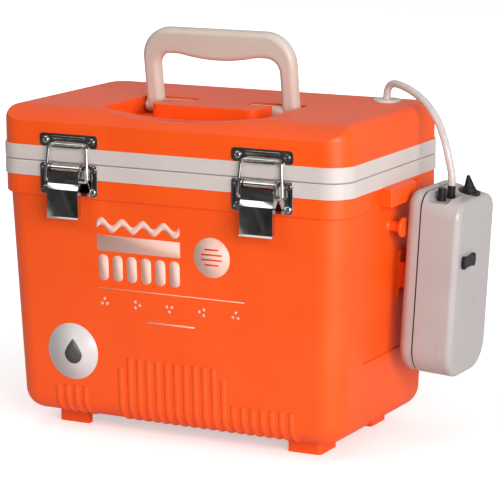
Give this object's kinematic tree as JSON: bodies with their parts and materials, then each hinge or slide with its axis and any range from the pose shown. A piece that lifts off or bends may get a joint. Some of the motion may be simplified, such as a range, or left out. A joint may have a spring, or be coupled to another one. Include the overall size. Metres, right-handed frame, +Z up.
{
  "type": "aerated bait bucket",
  "caption": "Rectangular insulated live-bait cooler with a hinged latching lid, folding carrying handle and a clip-on battery air pump whose hose enters the lid.",
  "frame": {"origin": "on the floor under the middle of the bounding box of the whole, the air hose left out; the middle of the tub is at X -23.8 mm, Y +0.65 mm", "axes": "+X along the length towards the air pump, +Y back towards the lid hinge (the latches face -Y), +Z up"},
  "size_m": [0.3686, 0.2063, 0.3172],
  "materials": {
    "orange_shell": "moulded HDPE, light grain",
    "white_liner": "moulded polyethylene",
    "foam": null,
    "beige_handle": "moulded polypropylene",
    "latch_steel": "polished stainless steel",
    "pin_steel": "stainless steel",
    "pump_white": "semi-gloss ABS",
    "black_plastic": "moulded nylon",
    "black_rubber": "soft rubber",
    "gasket_rubber": "soft silicone",
    "hose_silicone": "translucent air tubing",
    "cell_metal": "sleeved dry cells",
    "motor_metal": "small motor can",
    "chamber_plastic": "air pump head",
    "stone": "porous mineral"
  },
  "bodies": {
    "tub": {"tub_shell": "orange_shell", "tub_insulation": "foam", "tub_liner": "white_liner", "hinge_pins": "pin_steel", "left_latch_base": "latch_steel", "right_latch_base": "latch_steel", "left_base_screws": "pin_steel", "right_base_screws": "pin_steel", "left_lever_pin": "pin_steel", "right_lever_pin": "pin_steel", "left_strap_post": "orange_shell", "right_strap_post": "orange_shell", "pump_bracket": "orange_shell", "bracket_screws": "pin_steel", "pump_clip": "pump_white", "pump_back_shell": "pump_white", "pump_front_shell": "pump_white", "pump_seal": "black_rubber", "battery_cells": "cell_metal", "pump_motor": "motor_metal", "air_chamber": "chamber_plastic", "hose_nozzle": "black_plastic", "spare_nozzle": "black_plastic", "switch_bezel": "black_plastic", "inner_hose": "hose_silicone", "air_stone": "stone"},
    "lid": {"lid_shell": "orange_shell", "lid_insulation": "foam", "lid_liner": "white_liner", "rim_gasket": "gasket_rubber", "left_keeper": "latch_steel", "right_keeper": "latch_steel", "left_keeper_screws": "pin_steel", "right_keeper_screws": "pin_steel", "handle_pins": "pin_steel", "hose_grommet": "white_liner", "air_hose": "hose_silicone"},
    "handle": {"handle": "beige_handle"},
    "left_lever": {"left_lever": "latch_steel"},
    "right_lever": {"right_lever": "latch_steel"},
    "left_bail": {"left_bail": "latch_steel"},
    "right_bail": {"right_bail": "latch_steel"},
    "pump_toggle": {"pump_toggle": "black_rubber"},
    "pump_knob": {"pump_knob": "black_plastic"}
  },
  "joints": [
    {"name": "lid_hinge", "type": "hinge", "parent": "tub", "child": "lid", "pos_m": [-0.0238, 0.09815, 0.2175], "axis": [-1, 0, 0], "range_deg": [0, 100]},
    {"name": "handle_fold", "type": "hinge", "parent": "lid", "child": "handle", "pos_m": [-0.0238, 0.00565, 0.2526], "axis": [1, 0, 0], "range_deg": [-14, 82]},
    {"name": "left_lever_swing", "type": "hinge", "parent": "tub", "child": "left_lever", "pos_m": [-0.1085, -0.09555, 0.2144], "axis": [-1, 0, 0], "range_deg": [0, 140]},
    {"name": "right_lever_swing", "type": "hinge", "parent": "tub", "child": "right_lever", "pos_m": [0.0609, -0.09555, 0.2144], "axis": [-1, 0, 0], "range_deg": [0, 140]},
    {"name": "left_bail_turn", "type": "hinge", "parent": "left_lever", "child": "left_bail", "pos_m": [-0.1085, -0.09515, 0.204], "axis": [-1, 0, 0], "range_deg": [-140, 0]},
    {"name": "right_bail_turn", "type": "hinge", "parent": "right_lever", "child": "right_bail", "pos_m": [0.0609, -0.09515, 0.204], "axis": [-1, 0, 0], "range_deg": [-140, 0]},
    {"name": "pump_switch", "type": "hinge", "parent": "tub", "child": "pump_toggle", "pos_m": [0.17186, 0.04335, 0.19598], "axis": [0, 1, 0], "range_deg": [0, 36]},
    {"name": "knob_turn", "type": "hinge", "parent": "tub", "child": "pump_knob", "pos_m": [0.18168, 0.01765, 0.14645], "axis": [0.9981, 0, -0.061], "range_deg": [0, 90]}
  ],
  "couplings": [
    {"joint": "left_bail_turn", "follows": "left_lever_swing", "ratio": -1},
    {"joint": "right_bail_turn", "follows": "right_lever_swing", "ratio": -1}
  ]
}
